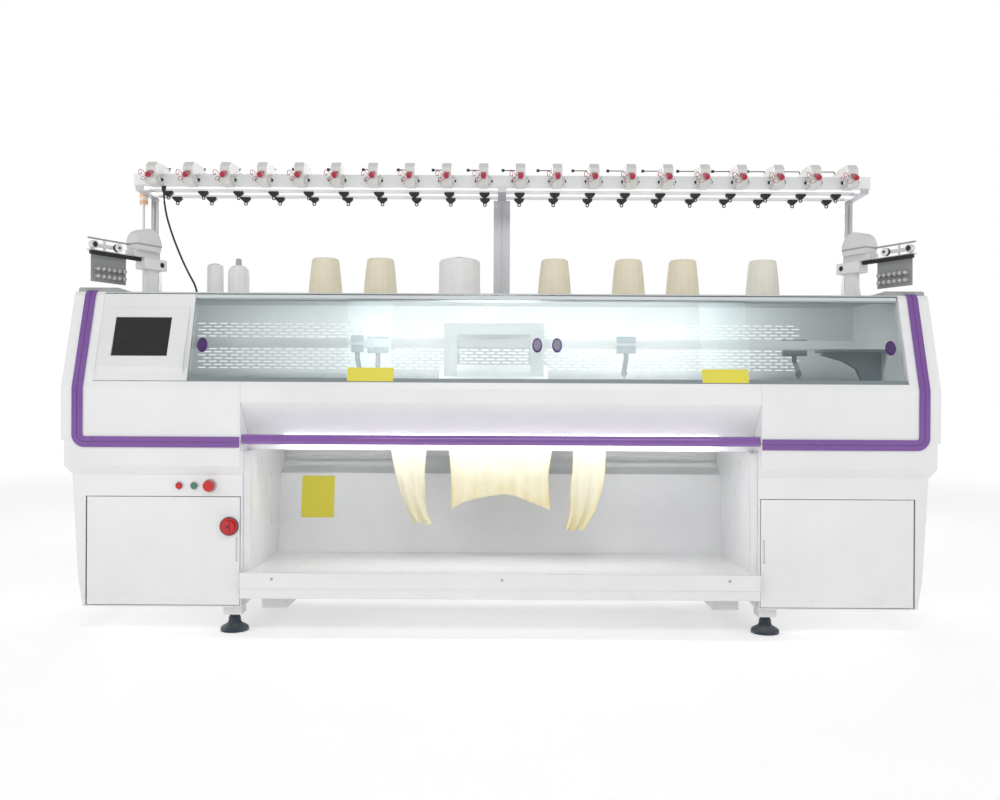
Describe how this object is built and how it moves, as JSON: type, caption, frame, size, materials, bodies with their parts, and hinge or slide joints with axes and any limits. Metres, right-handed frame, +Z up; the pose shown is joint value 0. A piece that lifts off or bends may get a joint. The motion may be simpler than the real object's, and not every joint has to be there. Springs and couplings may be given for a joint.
{
  "type": "flat knitting machine",
  "caption": "Computerised V-bed flat knitting machine with sliding clear doors, carriage, yarn creel, side feeders and open fabric bay.",
  "frame": {"origin": "on the floor, under the middle of the machine's footprint", "axes": "+X to the operator's right along the needle beds, +Y to the back, +Z up; the front faces -Y"},
  "size_m": [3.75, 0.885, 2.138],
  "materials": {
    "white_paint": "satin powder coat",
    "grey_paint": "satin powder coat",
    "slate_paint": "satin paint",
    "purple_plastic": "gloss",
    "white_plastic": "fine satin",
    "black_plastic": "satin",
    "red_plastic": "gloss",
    "green_plastic": "gloss",
    "screen_black": "gloss",
    "clear_pane": "clear",
    "lamp_lens": "clear, ribbed",
    "ground_steel": "ground",
    "anodised": "satin anodised",
    "foot_iron": "dark paint",
    "belt_rubber": "matt",
    "roller_rubber": "matt",
    "motor_black": "satin",
    "yarn_cream": "wound yarn",
    "knit_cream": "plain knit",
    "cord_black": "smooth"
  },
  "bodies": {
    "root": {"base_frame": "white_paint", "levelling_feet": "foot_iron", "bed_support": "slate_paint", "needle_beds": "ground_steel", "guide_rails": "ground_steel", "drive_belt": "belt_rubber", "drive_motor": "motor_black", "yarn_rails": "anodised", "rail_brackets": "slate_paint", "side_trims": "purple_plastic", "end_caps": "grey_paint", "centre_fascia": "white_paint", "screen_housing": "white_plastic", "screen_glass": "screen_black", "rear_hood": "grey_paint", "rear_cover": "white_paint", "cabinet_left": "white_paint", "cabinet_right": "white_paint", "window_tracks": "white_paint", "bay_tray": "white_paint", "bay_liner": "white_paint", "knitted_fabric": "knit_cream", "cone_shelf": "white_paint", "yarn_cones": "yarn_cream", "creel_posts": "anodised", "creel_rails": "white_paint", "tension_units": "white_plastic", "yarn_eyelets": "black_plastic", "signal_lamp": "lamp_lens", "feeder_stands": "white_paint", "feeder_drives": "white_plastic", "cable_glands": "black_plastic", "upper_casing_right": "white_paint", "upper_casing_left": "white_paint", "signal_cable": "cord_black"},
    "carriage": {"carriage_covers": "white_plastic", "carriage_arch": "white_plastic", "cam_plates": "ground_steel"},
    "drive_pulley": {"drive_pulley": "anodised"},
    "idler_pulley": {"idler_pulley": "anodised"},
    "carrier_1": {"yarn_carrier_1": "slate_paint"},
    "carrier_2": {"yarn_carrier_2": "slate_paint"},
    "carrier_3": {"yarn_carrier_3": "slate_paint"},
    "carrier_4": {"yarn_carrier_4": "slate_paint"},
    "door_1": {"window_door_1": "clear_pane"},
    "door_2": {"window_door_2": "clear_pane"},
    "door_3": {"window_door_3": "clear_pane"},
    "door_4": {"window_door_4": "clear_pane"},
    "start_bar": {"start_bar": "purple_plastic"},
    "cabinet_door_left": {"cabinet_door_left": "white_paint"},
    "cabinet_door_right": {"cabinet_door_right": "white_paint"},
    "main_switch": {"main_switch": "red_plastic"},
    "stop_button": {"stop_button": "red_plastic"},
    "start_button": {"start_button": "green_plastic"},
    "emergency_stop": {"emergency_stop": "red_plastic"},
    "roller_front": {"take_down_roller_front": "roller_rubber"},
    "roller_rear": {"take_down_roller_rear": "roller_rubber"},
    "feelers": {"feeler_arms": "black_plastic"},
    "feed_roller_left": {"feed_roller_left": "black_plastic"},
    "feed_roller_right": {"feed_roller_right": "black_plastic"}
  },
  "joints": [
    {"name": "carriage_slide", "type": "slide", "parent": "root", "child": "carriage", "axis": [1, 0, 0], "range_m": [-1.117, 1.183]},
    {"name": "drive_pulley_spin", "type": "hinge", "parent": "root", "child": "drive_pulley", "pos_m": [-1.56, 0.1035, 1.01], "axis": [0, 1, 0], "range_deg": [-1080, 1140]},
    {"name": "idler_pulley_spin", "type": "hinge", "parent": "root", "child": "idler_pulley", "pos_m": [1.56, 0.1035, 1.01], "axis": [0, 1, 0], "range_deg": [-1080, 1140]},
    {"name": "carrier_1_slide", "type": "slide", "parent": "root", "child": "carrier_1", "axis": [1, 0, 0], "range_m": [-0.76, 0.6]},
    {"name": "carrier_2_slide", "type": "slide", "parent": "root", "child": "carrier_2", "axis": [1, 0, 0], "range_m": [-0.84, 1.97]},
    {"name": "carrier_3_slide", "type": "slide", "parent": "root", "child": "carrier_3", "axis": [1, 0, 0], "range_m": [-0.5, 0.84]},
    {"name": "carrier_4_slide", "type": "slide", "parent": "root", "child": "carrier_4", "axis": [1, 0, 0], "range_m": [-2.77, 0.03]},
    {"name": "door_1_slide", "type": "slide", "parent": "root", "child": "door_1", "axis": [1, 0, 0], "range_m": [0, 0.676]},
    {"name": "door_2_slide", "type": "slide", "parent": "root", "child": "door_2", "axis": [1, 0, 0], "range_m": [-0.67, 0]},
    {"name": "door_3_slide", "type": "slide", "parent": "root", "child": "door_3", "axis": [1, 0, 0], "range_m": [0, 0.67]},
    {"name": "door_4_slide", "type": "slide", "parent": "root", "child": "door_4", "axis": [1, 0, 0], "range_m": [-0.67, 0]},
    {"name": "start_bar_turn", "type": "hinge", "parent": "root", "child": "start_bar", "pos_m": [0, -0.4165, 0.835], "axis": [1, 0, 0], "range_deg": [-30, 30]},
    {"name": "cabinet_door_left_hinge", "type": "hinge", "parent": "root", "child": "cabinet_door_left", "pos_m": [-1.773, -0.3885, 0.353], "axis": [0, 0, -1], "range_deg": [0, 100]},
    {"name": "cabinet_door_right_hinge", "type": "hinge", "parent": "root", "child": "cabinet_door_right", "pos_m": [1.773, -0.3885, 0.353], "axis": [0, 0, 1], "range_deg": [0, 100]},
    {"name": "main_switch_turn", "type": "hinge", "parent": "cabinet_door_left", "child": "main_switch", "pos_m": [-1.166, -0.4075, 0.46], "axis": [0, 1, 0], "range_deg": [0, 90]},
    {"name": "stop_button_press", "type": "slide", "parent": "root", "child": "stop_button", "axis": [0, 1, 0], "range_m": [0, 0.004], "stiffness_N_per_m": 600, "springref_m": -0.002},
    {"name": "start_button_press", "type": "slide", "parent": "root", "child": "start_button", "axis": [0, 1, 0], "range_m": [0, 0.004], "stiffness_N_per_m": 600, "springref_m": -0.002},
    {"name": "emergency_stop_press", "type": "slide", "parent": "root", "child": "emergency_stop", "axis": [0, 1, 0], "range_m": [0, 0.006], "stiffness_N_per_m": 900, "springref_m": -0.002},
    {"name": "roller_front_turn", "type": "hinge", "parent": "root", "child": "roller_front", "pos_m": [0, -0.1505, 0.868], "axis": [1, 0, 0], "continuous": true},
    {"name": "roller_rear_turn", "type": "hinge", "parent": "root", "child": "roller_rear", "pos_m": [0, -0.0845, 0.868], "axis": [1, 0, 0], "continuous": true},
    {"name": "feeler_swing", "type": "hinge", "parent": "root", "child": "feelers", "pos_m": [0, 0.1025, 2.091], "axis": [1, 0, 0], "range_deg": [-35, 10], "stiffness_Nm_per_rad": 6, "springref_deg": 3.44},
    {"name": "feed_roller_left_turn", "type": "hinge", "parent": "root", "child": "feed_roller_left", "pos_m": [-1.71, -0.25738, 1.676], "axis": [-0.866, 0.5, 0], "continuous": true},
    {"name": "feed_roller_right_turn", "type": "hinge", "parent": "root", "child": "feed_roller_right", "pos_m": [1.71, -0.25738, 1.676], "axis": [0.866, 0.5, 0], "continuous": true}
  ],
  "couplings": [
    {"joint": "drive_pulley_spin", "follows": "carriage_slide", "rad_per_m": 16.181},
    {"joint": "idler_pulley_spin", "follows": "carriage_slide", "rad_per_m": 16.181},
    {"joint": "roller_rear_turn", "follows": "roller_front_turn", "ratio": -1}
  ]
}
